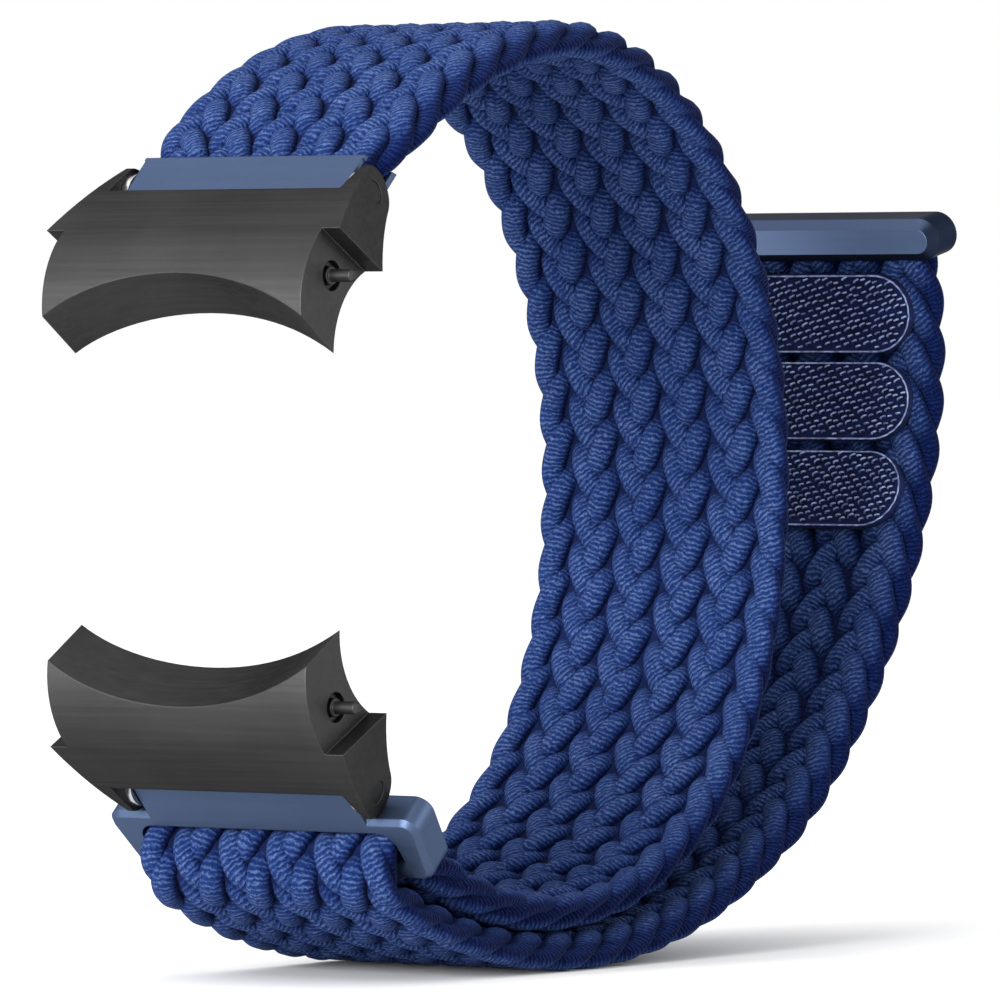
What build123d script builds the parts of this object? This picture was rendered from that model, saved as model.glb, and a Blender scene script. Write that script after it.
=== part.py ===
from build123d import *
from math import cos, radians, sin
import os

# A braided nylon watch strap. Two curved metal end links hold it to the watch. The upper link is
# hinged to a connector that clamps the strap, the lower one to a ring. The strap passes through
# the ring, folds back over the ring's bar and ends in a tail with an end bar and three hook pads.
# Lengths are millimetres. X is the strap's width, Y runs from the watch to the back of the
# wrist, Z is up. The model is drawn about the middle of the loop, and moved at the end so that
# its origin is the centre of the underside of its bounding box.

# ---- Driving dimensions ----

LUG_WIDTH = 20.0          # gap between the watch's lugs that the end links fill
CASE_RADIUS = 22.0        # round watch case that the end links fit against

STRAP_WIDTH = 18.8
STRAP_THICK = 2.2
STRAP_ROUND = 1.0         # rounding of the strap's long edges
BEND_GAP = 0.15           # clearance round the rounded end of a strap section

UPPER_PIN = (-27.4, 19.5)     # hinge pin centres, as (Y, Z)
LOWER_PIN = (-27.2, -17.7)
LOWER_LINK_TURN = 2.4         # extra turn of the lower link about its pin, degrees

# The strap's centreline: arcs of (radius, turn in degrees), left turns positive.
STRAP_HEADING = 44.0
STRAP_START = (1.8, -0.35)    # start of the arcs from the upper pin: along the strap, and outwards
STRAP_ARCS = [(33.0, -36.0), (21.5, -58.0), (32.5, -66.0), (23.0, -53.5), (30.0, -37.5), (4.0, -34.0)]
STRAP_IN_CLAMP = 0.6          # straight stretch inside the connector
CLAMPED_WIDTH = 16.4          # width of that stretch
FOLD_RADIUS = 2.15            # centreline radius of the fold over the ring's bar
TAIL_ARCS = [(FOLD_RADIUS, 215.5), (40.0, 3.5), (48.0, 34.0), (40.0, 61.5), (34.0, 29.5)]
BACK_BEND_HEADING = -90.0     # the strap bends where its centreline has this heading
TAIL_BEND_HEADINGS = (14.5, 40.5, 66.5)

LINK_HALF_EAR = 11.34         # half width of the end link over its ears, at the step
EAR_INNER = 9.0               # half width of the window between the ears
EAR_TAPER = 0.307             # how fast the ears' end faces lean in towards the pin
EAR_RADIUS = 1.65
PIN_RADIUS = 0.7
PIN_RECESS = 0.06
EAR_BORE = 0.72
KNUCKLE_BORE = 0.75

BAR_BORE = 0.95               # spring bar's bore in the link
TUBE_RADIUS = 0.9
TUBE_INNER = 0.75
TUBE_HALF = 9.6
TUBE_CAP = 0.4
CAP_BORE = 0.6
COLLAR_RADIUS = 0.57          # plunger neck in the tube's rolled-in end
PLUNGER_RADIUS = 0.7
PLUNGER_INNER_END = 3.2
TIP_RADIUS = 0.4
TIP_REACH = 11.7              # how far the tips reach from the middle
TIP_BEVEL = 0.15
PLUNGER_TRAVEL = 1.6
KNOB_AT = 5.0
KNOB_POST = 0.4
KNOB_HEAD = 0.75
KNOB_REACH = (2.25, 2.85)     # underside and top of the knob's head, from the bar's axis
KNOB_SLOT = 0.5               # half width of the slot that the knob's post runs in
SPRING_WIRE = 0.2             # side of the spring's square wire
SPRING_COIL = 0.5
SPRING_PITCH = 0.36
SPRING_LENGTH = 2.5

LUG_HALF = 8.4                # half width of the connector's and the ring's hinge lugs
WASHER_RADIUS = 1.3
WASHER_THICK = 0.5
CONNECTOR_HALF = 8.5
RING_HALF_TOP = 12.1
RING_HALF_BOTTOM = 11.2
RING_SLOT_HALF = 9.85
RING_BAR = 0.85

END_BAR_HALF = 11.0
END_BAR_HEIGHT = 2.9
END_BAR_THICK = 3.5
END_BAR_BEVEL = 0.6
END_BAR_GRIP = 1.35           # depth of the end bar's groove that holds the tail
PAD_LENGTH = 16.6
PAD_HEIGHT = 5.6
PAD_THICK = 0.6
PAD_CENTRES = (12.35, 6.1, -0.15)     # heights of the tail's centreline behind the pads

# ---- The end link's outline, from its hinge pin, as (Y, Z) ----

LINK_FRONT = (-8.1, -7.7)         # where the outer face meets the case face
LINK_REAR = (-4.7, -10.0)         # where the wrist face meets the case face
LINK_STEP_OUT = (-5.9, -2.3)      # outer end of the step under the ears
LINK_STEP_IN = (-1.4, -4.95)      # inner end of that step
SPRING_BAR = (-4.87, -5.22)


def direction(heading):
    """Unit vector in the YZ plane."""
    return (cos(radians(heading)), sin(radians(heading)))


def offset(point, heading, along, left):
    """A point moved along a heading and to its left."""
    c, s = direction(heading)
    return (point[0] + along * c - left * s, point[1] + along * s + left * c)


def unit(a, b):
    """Unit vector from a to b."""
    length = ((b[0] - a[0]) ** 2 + (b[1] - a[1]) ** 2) ** 0.5
    return ((b[0] - a[0]) / length, (b[1] - a[1]) / length)


def rod(radius, x0, x1, centre=(0, 0)):
    """A round bar along X."""
    bar = Rotation(0, 90, 0) * Cylinder(radius, x1 - x0)
    return Pos((x0 + x1) / 2, centre[0], centre[1]) * bar


def both_sides(shape):
    """A shape and its mirror image in the YZ plane."""
    return [shape, mirror(shape, about=Plane.YZ)]


def prism(points, half):
    """A polygon of (Y, Z) points, extruded to both sides of the middle."""
    face = make_face(Polyline(*points, close=True))
    return extrude(Plane.YZ * face, amount=half, both=True)


# ---- The strap's centreline ----

class Path:
    """A chain of tangent arcs in the YZ plane."""

    def __init__(self, start, heading, arcs):
        self.arcs = []
        for radius, turn in arcs:
            side = 1 if turn > 0 else -1
            centre = offset(start, heading, 0, side * radius)
            self.arcs.append((start, heading, radius, turn, centre))
            start = offset(centre, heading + turn, 0, -side * radius)
            heading += turn
        self.end = (start, heading)

    def at_heading(self, wanted, first=0):
        """Point on the path where it has a heading: (arc number, turn into that arc)."""
        for number, (_, heading, _, turn, _) in enumerate(self.arcs):
            into = wanted - heading
            if number >= first and 0 <= into / turn <= 1:
                return (number, into)
        raise ValueError(wanted)

    def at_height(self, z, first):
        """Heading at which the path reaches a height, in its last arcs."""
        low, high = self.arcs[first][1], self.end[1]
        for _ in range(40):
            middle = (low + high) / 2
            if self.place(self.at_heading(middle, first))[0][1] < z:
                low = middle
            else:
                high = middle
        return low

    def place(self, spot):
        """Point and heading at a spot."""
        number, into = spot
        _, heading, radius, turn, centre = self.arcs[number]
        side = 1 if turn > 0 else -1
        return offset(centre, heading + into, 0, -side * radius), heading + into

    def ribbon(self, start, stop, width=STRAP_WIDTH, low=-STRAP_THICK / 2, high=STRAP_THICK / 2,
               rounding=STRAP_ROUND):
        """Solid between two spots, from low to high on the left of the centreline."""
        body = None
        for number in range(start[0], stop[0] + 1):
            _, heading, _, turn, centre = self.arcs[number]
            begin = start[1] if number == start[0] else 0
            finish = stop[1] if number == stop[0] else turn
            if abs(finish - begin) < 0.01:
                continue
            point, now = self.place((number, begin))
            c, s = direction(now)
            section = Plane(origin=(0, *point), x_dir=(1, 0, 0), z_dir=(0, c, s))
            outline = Rectangle(width, high - low)
            if rounding:
                outline = RectangleRounded(width, high - low, rounding)
            # The section's local Y is the direction to the right of the heading's left normal.
            left = section.y_dir.Y * -s + section.y_dir.Z * c
            face = section * Pos(0, left * (low + high) / 2) * outline
            piece = revolve(face, Axis((0, *centre), (1, 0, 0)), revolution_arc=finish - begin)
            body = piece if body is None else body + piece
        return body


def rounded_end(point):
    """The rounded end of a strap section, centred on a bend's axis."""
    end = rod(STRAP_THICK / 2, -STRAP_WIDTH / 2, STRAP_WIDTH / 2, point)
    return fillet(end.edges().filter_by(GeomType.CIRCLE), STRAP_ROUND)


def hollow_end(point):
    """The space that the next section's rounded end turns in."""
    return rod(STRAP_THICK / 2 + BEND_GAP, -STRAP_WIDTH, STRAP_WIDTH, point)


MAIN = Path(offset(UPPER_PIN, STRAP_HEADING, *STRAP_START), STRAP_HEADING, STRAP_ARCS)
TAIL = Path(MAIN.end[0], MAIN.end[1], TAIL_ARCS)
FOLD_CENTRE = TAIL.arcs[0][4]
BACK_BEND = MAIN.at_heading(BACK_BEND_HEADING)
TAIL_BENDS = [TAIL.at_heading(heading, first=2) for heading in TAIL_BEND_HEADINGS]


# ---- Strap ----

def strap_upper():
    """From the connector to the bend at the back of the wrist."""
    start, heading = MAIN.place((0, 0))
    c, s = direction(heading)
    section = Plane(origin=(0, *start), x_dir=(1, 0, 0), z_dir=(0, c, s))
    clamped = extrude(section * RectangleRounded(CLAMPED_WIDTH, STRAP_THICK, STRAP_ROUND),
                      amount=-STRAP_IN_CLAMP)
    body = clamped + MAIN.ribbon((0, 0), BACK_BEND)
    return body + rounded_end(MAIN.place(BACK_BEND)[0])


def strap_lower():
    """From the bend at the back of the wrist to the fold."""
    last = len(MAIN.arcs) - 1
    body = MAIN.ribbon(BACK_BEND, (last, MAIN.arcs[last][3]))
    return body - hollow_end(MAIN.place(BACK_BEND)[0])


def strap_fold():
    """The fold over the ring's bar and the root of the tail."""
    body = TAIL.ribbon((0, 0), TAIL_BENDS[0])
    return body - hollow_end(TAIL.place(TAIL_BENDS[0])[0])


def tail_section(number):
    """One of the three bending sections of the tail."""
    last = len(TAIL.arcs) - 1
    stops = TAIL_BENDS + [(last, TAIL.arcs[last][3])]
    start, stop = stops[number], stops[number + 1]
    body = TAIL.ribbon(start, stop) + rounded_end(TAIL.place(start)[0])
    if number + 1 < len(TAIL_BENDS):
        body -= hollow_end(TAIL.place(stop)[0])
    return body


def hook_pad(height):
    """A stadium-shaped pad of hooks, sewn to the tail's inner face."""
    heading = TAIL.at_height(height, 3)
    point, _ = TAIL.place(TAIL.at_heading(heading, 3))
    spread = 6.0
    low = STRAP_THICK / 2
    sheet = TAIL.ribbon(TAIL.at_heading(heading - spread, 3), TAIL.at_heading(heading + spread, 3),
                        PAD_LENGTH + 2, low, low + PAD_THICK, 0)
    c, s = direction(heading)
    front = Plane(origin=(0, *point), x_dir=(1, 0, 0), z_dir=(0, -s, c))
    outline = front * SlotOverall(PAD_LENGTH, PAD_HEIGHT)
    return sheet & extrude(outline, amount=4 * STRAP_THICK)


def tail_end_bar():
    """Rounded bar that clamps the end of the tail."""
    point, heading = TAIL.end
    c, s = direction(heading)
    middle = END_BAR_HEIGHT / 2 - END_BAR_GRIP
    plane = Plane(origin=(0, *offset(point, heading, middle, 0)), x_dir=(1, 0, 0), z_dir=(0, -s, c))
    block = extrude(plane * SlotOverall(2 * END_BAR_HALF, END_BAR_HEIGHT), END_BAR_THICK / 2, both=True)
    block = chamfer(block.edges().filter_by(Axis.X), END_BAR_BEVEL)
    slack = 0.04
    groove = Box(STRAP_WIDTH + 2 * slack, STRAP_THICK + 2 * slack, 2 * END_BAR_GRIP)
    section = Plane(origin=(0, *point), x_dir=(1, 0, 0), z_dir=(0, c, s))
    return block - section * Pos(0, 0, slack - END_BAR_GRIP) * groove


# ---- End links ----

STEP_DIR = unit(LINK_STEP_OUT, LINK_STEP_IN)
STEP_UP = (-STEP_DIR[1], STEP_DIR[0])
CASE_DIR = unit(LINK_FRONT, LINK_REAR)
CASE_UP = (-CASE_DIR[1], CASE_DIR[0])
KNOB_HEADING = -45.0


def link_outline():
    """Side outline of the link, block and ears together."""
    ear_top = (-0.2, EAR_RADIUS)
    ear_rear = offset((0, 0), -42.0, EAR_RADIUS, 0)
    outline = [
        ThreePointArc(LINK_FRONT, (-7.75, -4.9), LINK_STEP_OUT),
        ThreePointArc(LINK_STEP_OUT, (-3.2, -0.15), ear_top),
        ThreePointArc(ear_top, offset((0, 0), 25.0, EAR_RADIUS, 0), ear_rear),
        ThreePointArc(ear_rear, (-0.35, -3.0), LINK_STEP_IN),
        ThreePointArc(LINK_STEP_IN, (-3.6, -6.7), LINK_REAR),
        Line(LINK_REAR, LINK_FRONT),
    ]
    return make_face(Wire(outline))


def end_face_plane(recess=0.0):
    """The leaning end face of an ear, on the +X side."""
    normal = (1.0, EAR_TAPER * STEP_UP[0], EAR_TAPER * STEP_UP[1])
    return Plane(origin=(LINK_HALF_EAR - recess, *LINK_STEP_OUT), x_dir=(0, *STEP_DIR), z_dir=normal)


def beyond(plane):
    """Everything outside a plane, near the link."""
    return plane * Pos(0, 0, 20) * Box(60, 60, 40)


def end_link():
    """Curved end link, drawn with its pin at the origin."""
    body = extrude(Plane.YZ * link_outline(), amount=LINK_HALF_EAR + 1, both=True)
    for cut in both_sides(beyond(end_face_plane())):
        body -= cut
    below_step = Plane(origin=(LUG_WIDTH / 2, *LINK_STEP_OUT), x_dir=(1, 0, 0), z_dir=(0, *STEP_UP))
    notch = below_step * Pos(10, 0, -20) * Box(20, 60, 40)
    for cut in both_sides(notch):
        body -= cut
    floor_start, floor_heading = (-3.3, 1.05), -52.0
    window = [floor_start, offset(floor_start, floor_heading, 6.0, 0), (6, -3), (6, 5), (-3.3, 5)]
    body -= prism(window, EAR_INNER)
    depth = (CASE_RADIUS ** 2 - (LUG_WIDTH / 2) ** 2) ** 0.5
    axis_point = (LINK_FRONT[0] - depth * CASE_UP[0], LINK_FRONT[1] - depth * CASE_UP[1])
    case = Plane(origin=(0, *axis_point), x_dir=(1, 0, 0), z_dir=(0, *CASE_DIR))
    body -= case * Cylinder(CASE_RADIUS, 60)
    body -= rod(EAR_BORE, -20, 20)
    body -= rod(BAR_BORE, -20, 20, SPRING_BAR)
    body -= knob_slot()
    return body


def knob_plane(x):
    """Plane across the release knob's post, at the spring bar's axis."""
    return Plane(origin=(x, *SPRING_BAR), x_dir=(1, 0, 0), z_dir=(0, *direction(KNOB_HEADING)))


def knob_slot():
    """Slot that the knob's post travels in."""
    length = PLUNGER_TRAVEL + 2 * KNOB_SLOT
    middle = KNOB_AT - PLUNGER_TRAVEL / 2
    return extrude(knob_plane(middle) * SlotOverall(length, 2 * KNOB_SLOT), amount=4)


def hinge_pin():
    """Pin through both ears, trimmed just under their end faces."""
    pin = rod(PIN_RADIUS, -20, 20)
    for cut in both_sides(beyond(end_face_plane(PIN_RECESS))):
        pin -= cut
    return pin


def hinge_washers():
    """Spacer washers between the ears and the hinged lug."""
    inner = EAR_INNER - WASHER_THICK - 0.02
    washer = rod(WASHER_RADIUS, inner, inner + WASHER_THICK) - rod(KNUCKLE_BORE, 0, 20)
    return Compound(both_sides(washer))


def spring_bar_tube():
    """Tube of the spring bar, with rolled-in ends."""
    tube = rod(TUBE_RADIUS, -TUBE_HALF, TUBE_HALF, SPRING_BAR)
    tube -= rod(TUBE_INNER, -TUBE_HALF + TUBE_CAP, TUBE_HALF - TUBE_CAP, SPRING_BAR)
    tube -= rod(CAP_BORE, -20, 20, SPRING_BAR)
    return tube - knob_slot()


def plunger():
    """Sprung plunger of the +X side, with its tip."""
    shoulder = TUBE_HALF - TUBE_CAP
    body = rod(PLUNGER_RADIUS, PLUNGER_INNER_END, shoulder, SPRING_BAR)
    collar = rod(COLLAR_RADIUS, shoulder, LUG_WIDTH / 2, SPRING_BAR)
    tip = rod(TIP_RADIUS, LUG_WIDTH / 2, TIP_REACH, SPRING_BAR)
    end = tip.edges().filter_by(GeomType.CIRCLE).sort_by(Axis.X)[-1]
    return body + collar + chamfer(end, TIP_BEVEL)


def release_knob():
    """Knob that draws the +X plunger back."""
    post = extrude(knob_plane(KNOB_AT) * Circle(KNOB_POST), amount=KNOB_REACH[0])
    head_plane = knob_plane(KNOB_AT).offset(KNOB_REACH[0])
    head = extrude(head_plane * Circle(KNOB_HEAD), amount=KNOB_REACH[1] - KNOB_REACH[0])
    rim = head.edges().filter_by(GeomType.CIRCLE)
    return post + chamfer(rim, 0.12) - rod(PLUNGER_RADIUS, -20, 20, SPRING_BAR)


def bar_spring():
    """Coil spring between the plungers, drawn at its closed length."""
    path = Helix(SPRING_PITCH, SPRING_LENGTH, SPRING_COIL)
    section = Plane(origin=path @ 0, z_dir=path % 0) * Rectangle(SPRING_WIRE, SPRING_WIRE)
    coil = sweep(section, path=path, is_frenet=True)
    return Pos(0, *SPRING_BAR) * Rotation(0, 90, 0) * Pos(0, 0, -SPRING_LENGTH / 2) * coil


# ---- Blue metal parts ----

def connector():
    """Connector that clamps the strap's fixed end and hinges in the upper link."""
    front, rear = 1.2, -2.0
    front_lip, rear_lip = 2.1, 3.7
    knuckle, shoulder = 1.5, 1.85
    pocket_start = STRAP_START[0] - STRAP_IN_CLAMP
    slack = 0.1

    def spot(along, left):
        return offset((0, 0), STRAP_HEADING, along, left)

    below_front = prism([spot(-3, front), spot(3, front), spot(3, -3), spot(-3, -3)], 20)
    lug = rod(knuckle, -LUG_HALF, LUG_HALF) & below_front
    neck = [spot(0, front), spot(2.0, front), spot(2.0, rear), spot(1.3, rear), spot(0, -1.4)]
    lug += prism(neck, LUG_HALF)
    bar = prism([spot(shoulder, front), spot(front_lip, front), spot(rear_lip, rear), spot(shoulder, rear)],
                CONNECTOR_HALF)
    low = STRAP_START[1] - STRAP_THICK / 2 - slack
    high = STRAP_START[1] + STRAP_THICK / 2 + slack
    pocket = prism([spot(pocket_start, low), spot(9, low), spot(9, high), spot(pocket_start, high)], 20)
    return lug + bar - pocket - rod(KNUCKLE_BORE, -20, 20)


RING_DIRECTION = unit(LOWER_PIN, FOLD_CENTRE)
RING_REACH = ((FOLD_CENTRE[0] - LOWER_PIN[0]) ** 2 + (FOLD_CENTRE[1] - LOWER_PIN[1]) ** 2) ** 0.5


def ring():
    """Ring with the hinge lug on top and the bar that the strap folds over."""
    front, rear = 0.9, -1.5
    knuckle, shoulder, slot_top = 1.5, 1.75, 2.75
    corner, bevel, slot_corner = 1.0, 0.35, 1.2
    foot = RING_REACH + 0.6
    # Local frame: X across, Y from the bar up to the pin, Z out of the front face.
    u = RING_DIRECTION
    frame = Plane(origin=(0, *LOWER_PIN), x_dir=(1, 0, 0), z_dir=(0, u[1], -u[0]))
    outline = Polyline((-RING_HALF_TOP, -shoulder), (RING_HALF_TOP, -shoulder), (RING_HALF_BOTTOM, -foot),
                       (-RING_HALF_BOTTOM, -foot), close=True)
    plate = extrude(make_face(outline), amount=front - rear)
    plate = fillet(plate.edges().filter_by(Axis.Z), corner)
    plate = chamfer(plate.faces().sort_by(Axis.Z)[-1].edges(), bevel)
    plate = Pos(0, 0, rear) * plate
    slot_length = foot - slot_top + 4
    slot = Box(2 * RING_SLOT_HALF, slot_length, 20)
    slot = fillet(slot.edges().filter_by(Axis.Z), slot_corner)
    slot = Pos(0, -slot_top - slot_length / 2, 0) * slot
    neck = shoulder + 2 * bevel
    lug = Pos(0, -neck / 2, (front + rear) / 2) * Box(2 * LUG_HALF, neck, front - rear)
    lug += Rotation(0, 90, 0) * Cylinder(knuckle, 2 * LUG_HALF)
    lug -= Pos(0, 0, front + 5) * Box(40, 40, 10)
    body = frame * (plate - slot + lug)
    bar = rod(RING_BAR, -RING_SLOT_HALF - 0.5, RING_SLOT_HALF + 0.5, FOLD_CENTRE)
    return body + bar - rod(KNUCKLE_BORE, -20, 20, LOWER_PIN)


# ---- Assembly ----

def upper(shape):
    """Place a link piece at the upper pin."""
    return Pos(0, *UPPER_PIN) * shape


def lower(shape):
    """Place a link piece at the lower pin, as a mirror image of the upper one."""
    return Pos(0, *LOWER_PIN) * mirror(Rotation(LOWER_LINK_TURN, 0, 0) * shape, about=Plane.XY)


def link_nodes(name, place):
    """The end link of one end with everything that it holds."""
    right = plunger()
    return {
        f"{name}_end_link": place(end_link()),
        f"{name}_hinge_pin": place(hinge_pin()),
        f"{name}_hinge_washers": place(hinge_washers()),
        f"{name}_spring_bar_tube": place(spring_bar_tube()),
        f"{name}_bar_spring": place(bar_spring()),
        f"{name}_plunger_right": place(right),
        f"{name}_plunger_left": place(mirror(right, about=Plane.YZ)),
        f"{name}_release_knob": place(release_knob()),
    }


def build():
    """Every node in the drawing frame."""
    nodes = {
        "strap_upper": strap_upper(),
        "strap_lower": strap_lower(),
        "strap_fold": strap_fold(),
        "upper_connector": Pos(0, *UPPER_PIN) * connector(),
        "lower_ring": ring(),
        "tail_end_bar": tail_end_bar(),
    }
    for number in range(len(TAIL_BENDS)):
        nodes[f"tail_section_{number + 1}"] = tail_section(number)
    for number, height in enumerate(PAD_CENTRES):
        nodes[f"hook_pad_{number + 1}"] = hook_pad(height)
    nodes.update(link_nodes("upper", upper))
    nodes.update(link_nodes("lower", lower))
    return nodes


NODES = build()
BOX = Compound(list(NODES.values())).bounding_box()
SHIFT = (0.0, -(BOX.min.Y + BOX.max.Y) / 2, -BOX.min.Z)

os.makedirs("parts", exist_ok=True)
for name, shape in NODES.items():
    export_step(Pos(*SHIFT) * shape, f"parts/{name}.step")
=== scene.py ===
import math

import bpy
import numpy as np
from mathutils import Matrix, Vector


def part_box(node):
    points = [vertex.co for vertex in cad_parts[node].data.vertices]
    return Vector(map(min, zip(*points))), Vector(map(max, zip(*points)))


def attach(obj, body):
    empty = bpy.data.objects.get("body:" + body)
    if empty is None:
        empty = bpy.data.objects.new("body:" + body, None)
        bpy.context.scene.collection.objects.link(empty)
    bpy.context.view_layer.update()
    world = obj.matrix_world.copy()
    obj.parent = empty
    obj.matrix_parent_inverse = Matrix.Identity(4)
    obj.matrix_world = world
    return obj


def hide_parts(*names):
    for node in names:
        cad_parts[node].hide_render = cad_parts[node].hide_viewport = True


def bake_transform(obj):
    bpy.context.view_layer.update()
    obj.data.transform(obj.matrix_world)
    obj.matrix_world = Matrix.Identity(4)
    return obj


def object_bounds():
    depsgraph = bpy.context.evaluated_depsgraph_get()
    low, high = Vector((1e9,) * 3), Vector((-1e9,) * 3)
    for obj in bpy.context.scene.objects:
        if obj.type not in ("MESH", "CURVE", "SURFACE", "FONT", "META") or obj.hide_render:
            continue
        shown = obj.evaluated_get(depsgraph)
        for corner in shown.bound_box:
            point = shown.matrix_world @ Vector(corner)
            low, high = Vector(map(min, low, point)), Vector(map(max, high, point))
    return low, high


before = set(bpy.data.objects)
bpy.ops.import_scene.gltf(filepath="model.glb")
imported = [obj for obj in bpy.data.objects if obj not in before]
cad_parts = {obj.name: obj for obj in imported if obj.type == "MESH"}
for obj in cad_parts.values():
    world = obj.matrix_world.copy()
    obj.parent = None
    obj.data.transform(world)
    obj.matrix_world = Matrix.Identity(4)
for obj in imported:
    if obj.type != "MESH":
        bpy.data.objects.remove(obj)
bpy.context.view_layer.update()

# Lengths below are millimetres in the frame that the CAD model is drawn in, as (Y, Z) points of
# the YZ plane, and become metres in the row frame when a mesh is made.

UPPER_PIN = (-27.4, 19.5)
STRAP_HEADING = 44.0
STRAP_START = (1.8, -0.35)
MAIN_ARCS = [(33.0, -36.0), (21.5, -58.0), (32.5, -66.0), (23.0, -53.5), (30.0, -37.5), (4.0, -34.0)]
TAIL_ARCS = [(2.15, 215.5), (40.0, 3.5), (48.0, 34.0), (40.0, 61.5), (34.0, 29.5)]
BACK_BEND_HEADING = -90.0
TAIL_BEND_HEADINGS = (14.5, 40.5, 66.5)
PAD_NODES = ("hook_pad_1", "hook_pad_2", "hook_pad_3")

CAMERA_AZIMUTH = 35.0
CAMERA_ELEVATION = 0.88
CAMERA_DISTANCE = 0.606      # metres
CAMERA_LENS = 336.2


def pin_centre():
    low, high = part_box("upper_hinge_pin")
    return (low + high) / 2


SHIFT_Y = pin_centre().y * 1000 - UPPER_PIN[0]
SHIFT_Z = pin_centre().z * 1000 - UPPER_PIN[1]


def row(points):
    """Drawing-frame millimetres to row-frame metres."""
    return (np.asarray(points, float) + (0.0, SHIFT_Y, SHIFT_Z)) / 1000


# ---- The strap's centreline ----

BISECTIONS = 40


class Line:
    """Tangent arcs, followed by arc length."""

    def __init__(self):
        heading = math.radians(STRAP_HEADING)
        along, left = STRAP_START
        c, s = math.cos(heading), math.sin(heading)
        point = np.array(UPPER_PIN) + along * np.array((c, s)) + left * np.array((-s, c))
        self.arcs = []
        length = 0.0
        for radius, turn in MAIN_ARCS + TAIL_ARCS:
            side = 1 if turn > 0 else -1
            bend = side / radius
            span = abs(math.radians(turn)) * radius
            self.arcs.append((length, point, heading, bend, span))
            point, heading = self.step(point, heading, bend, span)
            length += span
        self.length = length
        self.end = (length, point, heading, 0.0, 0.0)

    @staticmethod
    def step(point, heading, bend, span):
        after = heading + bend * span
        if abs(bend) < 1e-9:
            return point + span * np.array((math.cos(heading), math.sin(heading))), heading
        move = np.array((math.sin(after) - math.sin(heading), math.cos(heading) - math.cos(after)))
        return point + move / bend, after

    def at_heading(self, wanted, first=0):
        """Arc length where the line has a heading, in degrees, from one of its arcs on."""
        for start, _, heading, bend, span in self.arcs[first:]:
            into = (math.radians(wanted) - heading) / bend
            if 0 <= into <= span:
                return start + into
        raise ValueError(wanted)

    def at_height(self, z, lift):
        """Arc length near the end of the tail where a face raised by lift reaches a height."""
        low, high = self.arcs[-2][0], self.length
        for _ in range(BISECTIONS):
            middle = (low + high) / 2
            points, headings = self.place([middle])
            if points[0][1] + lift * math.cos(headings[0]) < z:
                low = middle
            else:
                high = middle
        return low

    def place(self, s):
        """Points and headings at arc lengths. The line runs straight on beyond its ends."""
        points, headings = [], []
        for value in s:
            arc = self.arcs[0]
            for other in self.arcs:
                if value >= other[0]:
                    arc = other
            start, point, heading, bend, _ = arc
            if value < 0:
                start, bend = 0.0, 0.0
            if value > self.length:
                start, point, heading, bend, _ = self.end
            where, after = self.step(point, heading, bend, value - start)
            points.append(where)
            headings.append(after)
        return np.array(points), np.array(headings)


LINE = Line()
TAIL_FIRST = len(MAIN_ARCS) + 2
BACK_BEND = LINE.at_heading(BACK_BEND_HEADING)
TAIL_BENDS = [LINE.at_heading(h, TAIL_FIRST) for h in TAIL_BEND_HEADINGS]


def surface(x, s, height):
    """Points at a place across the strap, an arc length and a height over its centre sheet."""
    centre, heading = LINE.place(s)
    normal = np.stack((-np.sin(heading), np.cos(heading)), 1)
    yz = centre + np.asarray(height, float)[:, None] * normal
    return np.column_stack((x, yz))


# ---- Meshes ----

def mesh_object(name, verts, faces, material, smooth=True, layers=None, slots=None):
    """Object from row-frame vertices. Each UV layer gives a pair for each face corner."""
    mesh = bpy.data.meshes.new(name)
    mesh.from_pydata([tuple(v) for v in verts], [], [tuple(int(i) for i in f) for f in faces])
    for mat in material if isinstance(material, list) else [material]:
        mesh.materials.append(mat)
    mesh.polygons.foreach_set("use_smooth", [smooth] * len(mesh.polygons))
    if slots is not None:
        mesh.polygons.foreach_set("material_index", slots)
    for key, pairs in (layers or {}).items():
        layer = mesh.uv_layers.new(name=key)
        layer.data.foreach_set("uv", np.asarray(pairs, np.float32).ravel())
    mesh.update()
    obj = bpy.data.objects.new(name, mesh)
    bpy.context.scene.collection.objects.link(obj)
    return obj


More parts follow.
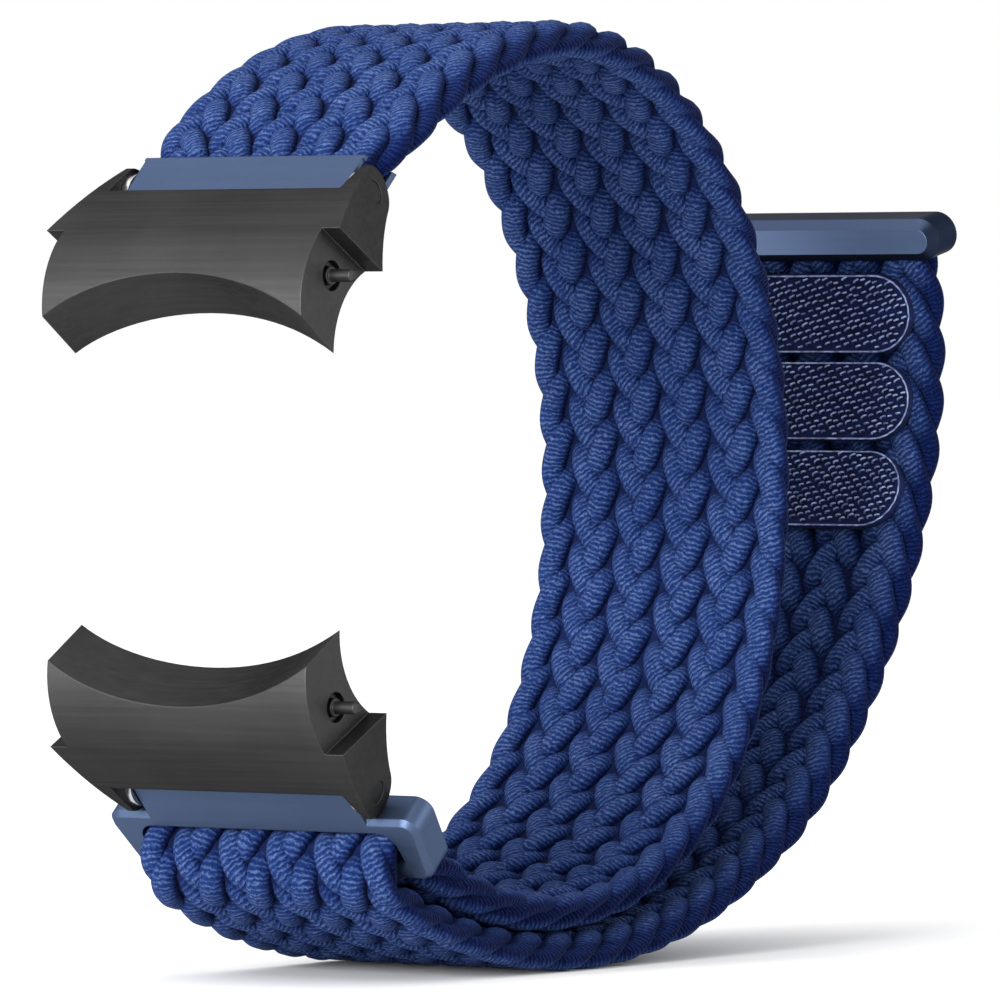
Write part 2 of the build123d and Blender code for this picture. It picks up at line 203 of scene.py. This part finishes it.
class Build:
    """Collects tubes into one mesh."""

    def __init__(self):
        self.verts, self.levels, self.crowns, self.faces, self.uvs, self.slots = [], [], [], [], [], []
        self.count = 0

    def tube(self, rings, along, slot=0, closed=False, level=None):
        """Rings of points, shape (rings, sides, 3), with a length along the tube for each ring.
        level is a height for each point, by which the braid material paints shade in the hollows of the
        weave, as it does by how near a point is to the crown of its own tube."""
        n, sides = rings.shape[:2]
        self.verts.append(rings.reshape(-1, 3))
        self.levels.append(np.ones(n * sides) if level is None else level.ravel())
        crown = np.abs(np.sin(np.linspace(0, 2 * math.pi, sides, endpoint=False)))
        self.crowns.append(np.tile(crown, n))
        last = n if closed else n - 1
        for i in range(last):
            a = self.count + i * sides
            b = self.count + (i + 1) % n * sides
            u0, u1 = along[i], along[i + 1]
            for j in range(sides):
                k = (j + 1) % sides
                self.faces.append((a + j, a + k, b + k, b + j))
                v0, v1 = j / sides, (j + 1) / sides
                self.uvs.append((u0, v0, u0, v1, u1, v1, u1, v0))
                self.slots.append(slot)
        if not closed:
            self.cap(self.count, sides, slot, True)
            self.cap(self.count + (n - 1) * sides, sides, slot, False)
        self.count += n * sides

    def cap(self, first, sides, slot, reverse):
        """Close the end of a tube with one face."""
        ring = list(range(first, first + sides))
        self.faces.append(ring[::-1] if reverse else ring)
        self.uvs.append((0.0, 0.0) * sides)
        self.slots.append(slot)

    def object(self, name, material):
        """The collected mesh as an object, with the layers Cord (along, around) and Level."""
        verts = row(np.concatenate(self.verts))
        corners = np.concatenate([np.array(face) for face in self.faces])
        shading = np.column_stack((np.concatenate(self.levels), np.concatenate(self.crowns)))
        layers = {"Cord": np.concatenate([np.array(u) for u in self.uvs]), "Level": shading[corners]}
        return mesh_object(name, verts, self.faces, material, layers=layers, slots=self.slots)


def sweep(points, width, depth, up, sides):
    """Rings of an ellipse along a line. up is roughly the direction that depth is measured in."""
    ahead = np.gradient(points, axis=0)
    ahead /= np.linalg.norm(ahead, axis=1)[:, None]
    across = np.cross(up, ahead)
    across /= np.linalg.norm(across, axis=1)[:, None]
    out = np.cross(ahead, across)
    angle = np.linspace(0, 2 * math.pi, sides, endpoint=False)
    ca, sa = np.cos(angle), np.sin(angle)
    width = np.broadcast_to(width, len(points))
    depth = np.broadcast_to(depth, len(points))
    return (points[:, None, :] + (width[:, None] * ca)[:, :, None] * across[:, None, :]
            + (depth[:, None] * sa)[:, :, None] * out[:, None, :])


# ---- The braid ----

COLUMNS = 10             # columns of crossings across the strap
COLUMN = 1.83            # between columns
PITCH = 3.38             # lengthwise, between crossings in a column
TURN = 1.5 * PITCH       # length a cord takes to turn back at an edge
STRANDS = 2 * COLUMNS + 1
LEAN = 0.38              # sideways run of a cord per length, at the middle of a crossing
LAG = 0.6                # how far past a crossing, in radians, a cord is highest
CORD_WIDE = 0.93         # half width of a cord
CORD_DEEP = 0.64
CORD_LIFT = 0.57         # how far a cord's centre rises over the strap's centre sheet
CORD_TOP = CORD_LIFT + CORD_DEEP
CORD_SIDES = 12
CORD_STEP = PITCH / 14
CORE_HALF = 8.3          # half width and half depth of the core
CORE_DEEP = 0.45
CORE_OUTLINE = [(-1, -0.6), (-0.97, -1), (0.97, -1), (1, -0.6), (1, 0.6), (0.97, 1), (-0.97, 1), (-1, 0.6)]
CORE_STRIDE = 4          # steps of a cord to one step of the core
EDGE = COLUMN * (COLUMNS - 1) / 2
RIB_PITCH = 0.30         # between the ribs of a cord's twist
START_NARROW = 0.87      # how much of its width the strap keeps in the connector and in the end bar
START_EASE = 3.4         # length over which it widens again
END_NARROW = 0.95
END_EASE = 2.4


def weave(place):
    """Sideways place and height phase of a cord at a place along its own period."""
    run = (COLUMNS - 1) * PITCH
    speed = COLUMN / PITCH
    wiggle = (speed - LEAN) * PITCH / (2 * math.pi)
    bulge = LEAN * TURN / math.pi

    def across(d):
        return -EDGE + speed * d - wiggle * np.sin(2 * math.pi * d / PITCH)

    place = place % (STRANDS * PITCH)
    out, back = place - run, place - run - TURN
    home = back - run
    x = np.where(place < run, across(place), EDGE + bulge * np.sin(math.pi * out / TURN))
    x = np.where(back >= 0, -across(back), x)
    x = np.where(home >= 0, -EDGE - bulge * np.sin(math.pi * home / TURN), x)
    turns = COLUMNS - 1
    phase = np.where(place < run, place / PITCH, turns + out / TURN)
    phase = np.where(back >= 0, turns + 1 + back / PITCH, phase)
    phase = np.where(home >= 0, 2 * turns + 1 + home / TURN, phase)
    return x, phase * math.pi


def squeeze(s):
    """How much of its width the strap has, as the connector and the end bar hold it."""
    s = np.asarray(s)
    t = np.clip((s - 0.4) / START_EASE, 0, 1)
    u = np.clip((LINE.length - s) / END_EASE, 0, 1)
    start = START_NARROW + (1 - START_NARROW) * t * t * (3 - 2 * t)
    return start * (END_NARROW + (1 - END_NARROW) * u * u * (3 - 2 * u))


def cord_centres(k, s):
    """Centre points of one cord, with a slight drift so that no two crossings are the same."""
    x, phase = weave(s + k * PITCH)
    drift = 0.07 * np.sin(s / 2.9 + 1.7 * k) + 0.04 * np.sin(s / 1.27 + 2.9 * k)
    narrow = squeeze(s)
    height = CORD_LIFT * (np.cos(phase - LAG) - 0.1 * np.cos(3 * (phase - LAG))) / 0.9 * np.sqrt(narrow)
    return surface((x + drift) * narrow, s, height)


def strap_normals(s):
    _, heading = LINE.place(s)
    return np.column_stack((np.zeros(len(heading)), -np.sin(heading), np.cos(heading)))


def braid(name, start, stop):
    """One zone of the strap: its cords, and a thin core that closes the gaps between them, coloured dark as
    painted shade in the gaps.
    """
    made = Build()
    count = max(2, int(round((stop - start) / CORD_STEP)))
    s = np.linspace(start, stop, count + 1)
    wider = np.concatenate(([start - CORD_STEP], s, [stop + CORD_STEP]))
    up = strap_normals(wider)
    for k in range(STRANDS):
        points = cord_centres(k, wider)
        full = (1 + 0.03 * np.sin(wider / 1.9 + 2.3 * k)) * squeeze(wider)
        rings = sweep(points, CORD_WIDE * full, CORD_DEEP, up, CORD_SIDES)
        steps = np.linalg.norm(np.diff(points, axis=0), axis=1)
        along = np.concatenate(([0.0], np.cumsum(steps)))[1:-1]
        sheet = surface(np.zeros(len(wider)), wider, np.zeros(len(wider)))
        # Height within the weave, which the braid material turns into painted shade.
        level = np.abs(((rings - sheet[:, None]) * up[:, None]).sum(2)) / CORD_TOP
        made.tube(rings[1:-1], along, level=level[1:-1])
    whole = count % CORE_STRIDE == 0
    coarse = s[::CORE_STRIDE] if whole else np.linspace(start, stop, count // CORE_STRIDE + 2)
    narrow = squeeze(coarse)
    core = np.stack([surface(CORE_HALF * x * narrow, coarse, np.full(len(coarse), CORE_DEEP * z))
                     for x, z in CORE_OUTLINE], 1)
    made.tube(core[:, ::-1], coarse - start, slot=1)
    return made.object(name, [BRAID, CORE])


# ---- Materials ----

class Finish:
    """A node material with one Principled shader."""

    def __init__(self, name, **values):
        self.mat = bpy.data.materials.new(name)
        self.mat.use_nodes = True
        self.tree = self.mat.node_tree
        self.shader = self.tree.nodes["Principled BSDF"]
        for key, value in values.items():
            self.shader.inputs[key.replace("_", " ")].default_value = value

    def node(self, kind, links=None, **settings):
        made = self.tree.nodes.new("ShaderNode" + kind)
        for key, value in settings.items():
            setattr(made, key, value)
        for key, value in (links or {}).items():
            self.feed(made.inputs[key], value)
        return made

    def feed(self, socket, value):
        if isinstance(value, bpy.types.NodeSocket):
            self.tree.links.new(value, socket)
        else:
            socket.default_value = value

    def maths(self, operation, *values):
        made = self.node("Math", operation=operation)
        for socket, value in zip(made.inputs, values):
            self.feed(socket, value)
        return made.outputs[0]

    def ramp(self, factor, *stops):
        made = self.node("ValToRGB", {0: factor})
        while len(made.color_ramp.elements) < len(stops):
            made.color_ramp.elements.new(0.5)
        for element, (position, colour) in zip(made.color_ramp.elements, stops):
            element.position = position
            element.color = (*colour, 1)
        return made.outputs[0]

    def multiply(self, first, second):
        made = self.node("VectorMath", {0: first, 1: second}, operation="MULTIPLY")
        return made.outputs["Vector"]

    def noise(self, scale, vector=None, detail=3.0, rough=0.5):
        if vector is None:
            vector = self.node("TexCoord").outputs["Object"]
        links = {"Vector": vector, "Scale": scale, "Detail": detail, "Roughness": rough}
        return self.node("TexNoise", links).outputs["Fac"]

    def stretched(self, scale):
        """Object coordinates scaled by different amounts along X, Y and Z."""
        coords = self.node("TexCoord").outputs["Object"]
        return self.node("Mapping", {"Vector": coords, "Scale": scale}).outputs[0]

    def bump(self, height, distance, strength=1.0, normal=None):
        links = {"Height": height, "Distance": distance, "Strength": strength}
        if normal is not None:
            links["Normal"] = normal
        return self.node("Bump", links).outputs[0]

    def set(self, socket, value):
        self.feed(self.shader.inputs[socket], value)


def braid_finish():
    """Twisted nylon cord: ribs round the cord, fine yarn and fuzz, with painted shade between the ribs, in
    the crevices between cords and on each cord's sides.
    """
    f = Finish("braid_cord", Roughness=0.85, Sheen_Weight=0.08, Sheen_Roughness=0.45,
               Sheen_Tint=(0.25, 0.40, 1.0, 1), Specular_IOR_Level=0.05)
    uv = f.node("SeparateXYZ", {0: f.node("UVMap", uv_map="Cord").outputs[0]})
    shading = f.node("SeparateXYZ", {0: f.node("UVMap", uv_map="Level").outputs[0]})
    along, around = uv.outputs[0], uv.outputs[1]
    wobble = f.maths("MULTIPLY", f.noise(2200.0, detail=3.0), 10.0)
    turns = f.maths("ADD", f.maths("MULTIPLY", along, 2 * math.pi / RIB_PITCH),
                    f.maths("MULTIPLY", around, -2 * math.pi * 3))
    wave = f.maths("SINE", f.maths("ADD", turns, wobble))
    rib = f.maths("MULTIPLY_ADD", wave, 0.5, 0.5)
    yarn = f.maths("MULTIPLY_ADD", f.noise(4600.0, detail=4.0, rough=0.65), 2.2, -0.6)
    patch = f.noise(260.0, detail=2.0)
    height = f.maths("ADD", f.maths("MULTIPLY", f.maths("POWER", rib, 0.6), 0.6),
                     f.maths("MULTIPLY", yarn, 0.6))
    # The tone is darker between the ribs, as painted shade in the grooves of the twist, and varies at random
    # with the yarn and in patches.
    tone = f.maths("ADD", f.maths("MULTIPLY", rib, 0.40),
                   f.maths("ADD", f.maths("MULTIPLY", yarn, 0.50), f.maths("MULTIPLY", patch, 0.25)))
    cord = f.ramp(tone, (0.20, (0.0014, 0.0100, 0.070)), (0.60, (0.012, 0.031, 0.117)),
                  (0.97, (0.080, 0.124, 0.262)))
    # Painted shade: darker the lower a point lies in the weave, and darker on the sides of each cord.
    crevice_shade = f.ramp(shading.outputs[0], (0.30, (0.08, 0.18, 0.40)), (0.62, (0.60, 0.68, 0.80)),
                     (0.90, (1, 1, 1)))
    flank_shade = f.ramp(shading.outputs[1], (0.15, (0.10, 0.22, 0.45)), (0.60, (0.70, 0.76, 0.85)),
                   (0.90, (1, 1, 1)))
    f.set("Base Color", f.multiply(cord, f.multiply(crevice_shade, flank_shade)))
    f.set("Normal", f.bump(height, 0.00020, 0.85))
    return f.mat


# The core's dark navy is painted shade, standing for the shade seen between the cords.
def core_shade_finish():
    f = Finish("braid_core", Roughness=0.95, Specular_IOR_Level=0.1)
    f.set("Base Color", f.ramp(f.noise(1500.0), (0.3, (0.001, 0.004, 0.022)), (0.7, (0.004, 0.010, 0.050))))
    return f.mat


EDGE_BEVEL = 0.00012


def metal_finish(name, colours, rough, brush, edge, metallic=1.0, tint=1.0, painted_facet_shade=1.0):
    """Satin metal with brush lines along the strap's width, soft wear and lighter edges.
    facet is painted shade: how much of their colour the faces keep that are not square to the object's Y."""
    f = Finish(name, Metallic=metallic, Specular_Tint=(tint, tint, tint, 1), Specular_IOR_Level=0.15)
    lines = f.noise(1.0, f.stretched(brush), detail=4.0, rough=0.6)
    cloud = f.noise(160.0, detail=4.0)
    soft = f.node("Bevel", {"Radius": EDGE_BEVEL}, samples=6).outputs[0]
    flat = f.node("NewGeometry").outputs["Normal"]
    turn = f.node("VectorMath", {0: soft, 1: flat}, operation="DOT_PRODUCT").outputs["Value"]
    worn = f.maths("MULTIPLY", f.maths("SUBTRACT", 1.0, turn), edge)
    tone = f.maths("ADD", f.maths("ADD", f.maths("MULTIPLY", lines, 0.45), f.maths("MULTIPLY", cloud, 0.4)),
                   worn)
    colour = f.ramp(tone, (0.25, colours[0]), (0.6, colours[1]), (1.0, colours[2]))
    if painted_facet_shade < 1:
        # Painted shade: faces that do not face along the object's Y are darkened.
        own = f.node("SeparateXYZ", {0: f.node("TexCoord").outputs["Normal"]}).outputs[1]
        shade = f.ramp(f.maths("ABSOLUTE", own), (0.80, (painted_facet_shade, painted_facet_shade, painted_facet_shade * 1.15)), (0.95, (1, 1, 1)))
        colour = f.multiply(colour, shade)
    f.set("Base Color", colour)
    f.set("Roughness", f.maths("MULTIPLY_ADD", f.maths("ADD", lines, cloud), 0.12, rough - 0.12))
    f.set("Normal", f.bump(lines, 0.00001, 0.35, soft))
    return f.mat


def pad_finish():
    """Woven backing of the hook pads."""
    f = Finish("pad_backing", Roughness=0.9, Specular_IOR_Level=0.2)
    weave_lines = f.noise(1.0, f.stretched((900.0, 300.0, 2600.0)), detail=2.0)
    f.set("Base Color", f.ramp(weave_lines, (0.35, (0.0005, 0.003, 0.026)), (0.75, (0.003, 0.011, 0.066))))
    f.set("Normal", f.bump(weave_lines, 0.00008, 0.8))
    return f.mat


def hook_finish():
    f = Finish("pad_hooks", Roughness=0.38, Specular_IOR_Level=0.5)
    shade = f.noise(2200.0, detail=1.0)
    f.set("Base Color", f.ramp(shade, (0.35, (0.06, 0.08, 0.19)), (0.7, (0.28, 0.34, 0.56))))
    return f.mat


BRAID = braid_finish()
CORE = core_shade_finish()
DARK_STEEL = metal_finish("dark_steel", ((0.043, 0.043, 0.044), (0.062, 0.062, 0.063), (0.092, 0.092, 0.095)),
                          0.50, (60.0, 3200.0, 3200.0), 0.5, tint=0.3)
BRIGHT_STEEL = metal_finish("bright_steel", ((0.42, 0.42, 0.43), (0.60, 0.60, 0.61), (0.80, 0.80, 0.80)),
                            0.22, (300.0, 1800.0, 1800.0), 0.6)
BLUES = ((0.056, 0.082, 0.146), (0.067, 0.097, 0.171), (0.092, 0.130, 0.220))
# Lighter blues for the end bar are painted light: its front and back flats are painted as lit, while its
# other faces are darkened.
LIT_BLUES_PAINTED = ((0.108, 0.156, 0.275), (0.128, 0.184, 0.320), (0.160, 0.225, 0.380))
BLUE_METAL = metal_finish("blue_metal", BLUES, 0.42, (80.0, 2600.0, 2600.0), 0.3, metallic=0.85, tint=0.4)
BLUE_BAR = metal_finish("blue_bar", LIT_BLUES_PAINTED, 0.42, (80.0, 2600.0, 2600.0), 0.2, metallic=0.85, tint=0.4,
                        painted_facet_shade=0.12)
PAD = pad_finish()
HOOK = hook_finish()


# ---- Hook pads ----

PAD_HALF = 8.5            # half length across the strap, and half height along it
PAD_HIGH = 2.8
PAD_STRAIGHT = PAD_HALF - PAD_HIGH
PAD_BASE = 1.05           # bottom and top of a pad's backing, over the strap's centre sheet
PAD_TOP = 1.62
# Scale and height of each ring of the backing, from its foot over the rolled rim to the middle.
PAD_RINGS = [
    (1.0, PAD_BASE), (1.0, PAD_TOP - 0.12), (0.992, PAD_TOP - 0.03), (0.975, PAD_TOP),
    (0.93, PAD_TOP - 0.02), (0.90, PAD_TOP - 0.05), (0.6, PAD_TOP - 0.05), (0.25, PAD_TOP - 0.05),
]
PAD_STEP = 0.22           # between points of the backing's outline
ARC_STEPS = 24            # in each round end of an outline
THREAD_INSET = 0.10       # of the edge thread, from the pad's outline
THREAD_STEP = 0.10
THREAD_WIDE = 0.06
THREAD_DEEP = 0.05
THREAD_RIPPLE = 0.018
STITCH_STEPS = 7          # points of the thread in each stitch
HOOK_ROW = 0.46
HOOK_GAP = 0.62
HOOK_SLOPE = 0.30
HOOK_MARGIN = 0.26        # clear of hooks, inside the pad's outline
HOOK_TALL = 0.30
HOOK_WIRE = 0.07
HOOK_STEPS = 7


def stadium(half, high, count):
    """Outline of a stadium, as (across, along) points."""
    points = []
    straight = half - high
    for side in (1, -1):
        for i in range(count + 1):
            angle = -math.pi / 2 + math.pi * i / count
            points.append((side * (straight + high * math.cos(angle)), side * high * math.sin(angle)))
    return np.array(points)


def on_tail(middle, flat, height):
    """Points of a flat drawing laid on the tail, round an arc length."""
    flat = np.asarray(flat, float)
    return surface(flat[:, 0], middle + flat[:, 1], np.broadcast_to(height, len(flat)))


def resample(outline, step):
    """A closed outline with points about evenly spaced."""
    closed = np.vstack((outline, outline[:1]))
    lengths = np.concatenate(([0], np.cumsum(np.linalg.norm(np.diff(closed, axis=0), axis=1))))
    want = np.linspace(0, lengths[-1], int(lengths[-1] / step) + 1)[:-1]
    return np.column_stack([np.interp(want, lengths, closed[:, i]) for i in (0, 1)])


def pad_backing(middle):
    """The backing with its rolled rim."""
    outline = resample(stadium(PAD_HALF, PAD_HIGH, ARC_STEPS), PAD_STEP)
    spine = np.column_stack((np.clip(outline[:, 0], -PAD_STRAIGHT, PAD_STRAIGHT), np.zeros(len(outline))))
    rings = [on_tail(middle, spine + (outline - spine) * scale, height) for scale, height in PAD_RINGS]
    made = Build()
    made.tube(np.stack(rings), np.arange(len(rings), dtype=float))
    return made


def edge_thread(made, middle):
    """The stitched thread round a pad."""
    rim = resample(stadium(PAD_HALF - THREAD_INSET, PAD_HIGH - THREAD_INSET, ARC_STEPS), THREAD_STEP)
    beat = np.arange(len(rim)) * 2 * math.pi * round(len(rim) / STITCH_STEPS) / len(rim)
    thread = on_tail(middle, rim, PAD_TOP + 0.02)
    thread += THREAD_RIPPLE * np.sin(beat)[:, None] * strap_normals(middle + rim[:, 1])
    wrapped = np.vstack((thread[-2:], thread, thread[:2]))
    up = strap_normals(middle + np.concatenate((rim[-2:, 1], rim[:, 1], rim[:2, 1])))
    rings = sweep(wrapped, THREAD_WIDE, THREAD_DEEP, up, 6)[2:-2]
    made.tube(rings, np.arange(len(rings) + 1) * THREAD_STEP, closed=True)


def hook_rows(made, middle, number):
    """Slanted rows of small hooks that fill a pad."""
    rows = int((PAD_HIGH + HOOK_SLOPE * PAD_HALF) / HOOK_ROW) + 1
    columns = int(PAD_HALF / HOOK_GAP) + 1
    for i in range(-rows, rows + 1):
        for j in range(-columns, columns + 1):
            seed = math.sin(12.9898 * i + 78.233 * j + 3.7 * number) * 43758.5453
            jitter = seed - math.floor(seed)
            x = j * HOOK_GAP + 0.5 * HOOK_GAP * (i % 2) + 0.12 * (jitter - 0.5)
            y = i * HOOK_ROW + HOOK_SLOPE * x
            if math.hypot(max(abs(x) - PAD_STRAIGHT, 0.0), y) <= PAD_HIGH - HOOK_MARGIN:
                made.tube(small_hook(middle, x, y, jitter), np.arange(HOOK_STEPS) * 0.1)


def small_hook(middle, x, y, jitter):
    """A little bent wire that leans along its row."""
    t = np.linspace(0, 1, HOOK_STEPS)
    reach = 0.17 + 0.05 * jitter
    dx = reach * (1 - np.cos(math.pi * t * 0.92))
    dy = (HOOK_SLOPE + 0.5 * (jitter - 0.3)) * dx
    rise = HOOK_TALL * (0.85 + 0.3 * jitter) * np.sin(math.pi * t * 0.82)
    flat = np.column_stack((x - reach + dx, y + dy))
    points = on_tail(middle, flat, PAD_TOP - 0.08 + rise)
    cross = np.tile((0.2, 0.1, 1.0), (HOOK_STEPS, 1))
    return sweep(points, HOOK_WIRE, HOOK_WIRE, cross, 5)


def hook_pad(number, node):
    """One pad where its CAD node is: the backing, then the thread and hooks as a second piece."""
    low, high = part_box(node)
    middle = LINE.at_height((low.z + high.z) * 500 - SHIFT_Z, (PAD_BASE + PAD_TOP) / 2)
    backing = pad_backing(middle).object(f"{node}_backing", PAD)
    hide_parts(node)
    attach(backing, "tail_end")

    made = Build()
    edge_thread(made, middle)
    hook_rows(made, middle, number)
    pile = made.object(f"{node}_hooks", HOOK)
    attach(pile, "tail_end")


# ---- The strap's zones ----

def station(s):
    """Row-frame point of the strap's centreline."""
    return tuple(row(surface(np.zeros(1), [s], [0.0]))[0])


BEND_REACH = 5.0          # to each side of a bend
CUT_REACH = 9.0           # from a bend to the end of the zone that it is in
START_TUCK = 0.5          # of the braid into the connector and into the end bar
END_TUCK = 0.9
FIRST_CUT = BACK_BEND + CUT_REACH
ROOT_CUT = TAIL_BENDS[0] - CUT_REACH
CUTS = [(TAIL_BENDS[0] + TAIL_BENDS[1]) / 2, (TAIL_BENDS[1] + TAIL_BENDS[2]) / 2]
TAIL_STOP = LINE.length + END_TUCK
# Name, start and end of each zone, the bodies that it joins, the bend between them, and its CAD nodes.
ZONES = [
    ("strap_braid_upper", -START_TUCK, FIRST_CUT, "upper_strap", "lower_strap", BACK_BEND, ("strap_upper",)),
    ("strap_braid_lower", FIRST_CUT, ROOT_CUT, "lower_strap", None, None, ("strap_lower", "strap_fold")),
    ("tail_braid_root", ROOT_CUT, CUTS[0], "lower_strap", "tail_root", TAIL_BENDS[0], ("tail_section_1",)),
    ("tail_braid_middle", CUTS[0], CUTS[1], "tail_root", "tail_middle", TAIL_BENDS[1], ("tail_section_2",)),
    ("tail_braid_end", CUTS[1], TAIL_STOP, "tail_middle", "tail_end", TAIL_BENDS[2], ("tail_section_3",)),
]

for name, start, stop, body, other, bend, nodes in ZONES:
    piece = braid(name, start, stop)
    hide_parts(*nodes)
    if other is None:
        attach(piece, body)
    else:
        station(bend - BEND_REACH)
        station(bend + BEND_REACH)
        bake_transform(piece)

for number, node in enumerate(PAD_NODES):
    hook_pad(number, node)

# ---- CAD nodes that stay ----

FINISHES = {
    "end_link": DARK_STEEL, "hinge_pin": DARK_STEEL, "plunger_right": DARK_STEEL,
    "plunger_left": DARK_STEEL, "release_knob": DARK_STEEL, "spring_bar_tube": DARK_STEEL,
    "hinge_washers": BRIGHT_STEEL, "bar_spring": BRIGHT_STEEL,
}
KEPT = {"upper_connector": BLUE_METAL, "lower_ring": BLUE_METAL, "tail_end_bar": BLUE_BAR}
for end in ("upper", "lower"):
    KEPT.update({f"{end}_{part}": mat for part, mat in FINISHES.items()})
for node, mat in KEPT.items():
    for material_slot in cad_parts[node].material_slots:
        material_slot.material = mat

# ---- Floor, light and camera ----

FLOOR_SIZE = 6.0          # half its width, in metres
FLOOR_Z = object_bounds()[0][2]
WHITE = Finish("floor_white", Roughness=1.0, Specular_IOR_Level=0.0, Base_Color=(0.85, 0.85, 0.85, 1)).mat
corners = [(-1, -1), (1, -1), (1, 1), (-1, 1)]
floor = mesh_object("floor", [(FLOOR_SIZE * x, FLOOR_SIZE * y, FLOOR_Z) for x, y in corners],
                    [(0, 1, 2, 3)], WHITE, smooth=False)

world = bpy.data.worlds.new("studio")
bpy.context.scene.world = world
world.use_nodes = True
world.node_tree.nodes["Background"].inputs[0].default_value = (1, 1, 1, 1)
world.node_tree.nodes["Background"].inputs[1].default_value = 1.0


TARGET = Vector((0.0, SHIFT_Y / 1000, SHIFT_Z / 1000))


def direction(azimuth, elevation):
    """Unit vector from the target towards a camera or a lamp, for angles in degrees."""
    a, e = math.radians(azimuth), math.radians(elevation)
    return Vector((math.sin(a) * math.cos(e), -math.cos(a) * math.cos(e), math.sin(e)))


def aim(name, data, away, distance):
    """A lamp or camera at a distance from the target, in metres, and turned to face it."""
    obj = bpy.data.objects.new(name, data)
    obj.location = TARGET + away * distance
    obj.rotation_euler = away.to_track_quat("Z", "Y").to_euler()
    bpy.context.scene.collection.objects.link(obj)
    return obj


def area_light(name, azimuth, elevation, distance, size, power):
    data = bpy.data.lights.new(name, "AREA")
    data.size = size
    data.energy = power
    aim(name, data, direction(azimuth, elevation), distance)


sun_data = bpy.data.lights.new("sky", "SUN")
sun_data.energy = 1.0
sun_data.angle = math.radians(60)
aim("sky", sun_data, Vector((-0.25, -0.45, 1.0)), 1.0)
area_light("key", 0.0, 6.0, 0.55, 0.30, 6.8)
area_light("right", 105.0, 8.0, 0.60, 0.55, 2.0)

camera_data = bpy.data.cameras.new("camera")
camera_data.lens = CAMERA_LENS
camera_data.sensor_width = 36.0
camera_data.clip_start = 0.01
camera = aim("camera", camera_data, direction(CAMERA_AZIMUTH, CAMERA_ELEVATION), CAMERA_DISTANCE)
bpy.context.scene.camera = camera
bpy.context.scene.view_settings.view_transform = "Standard"
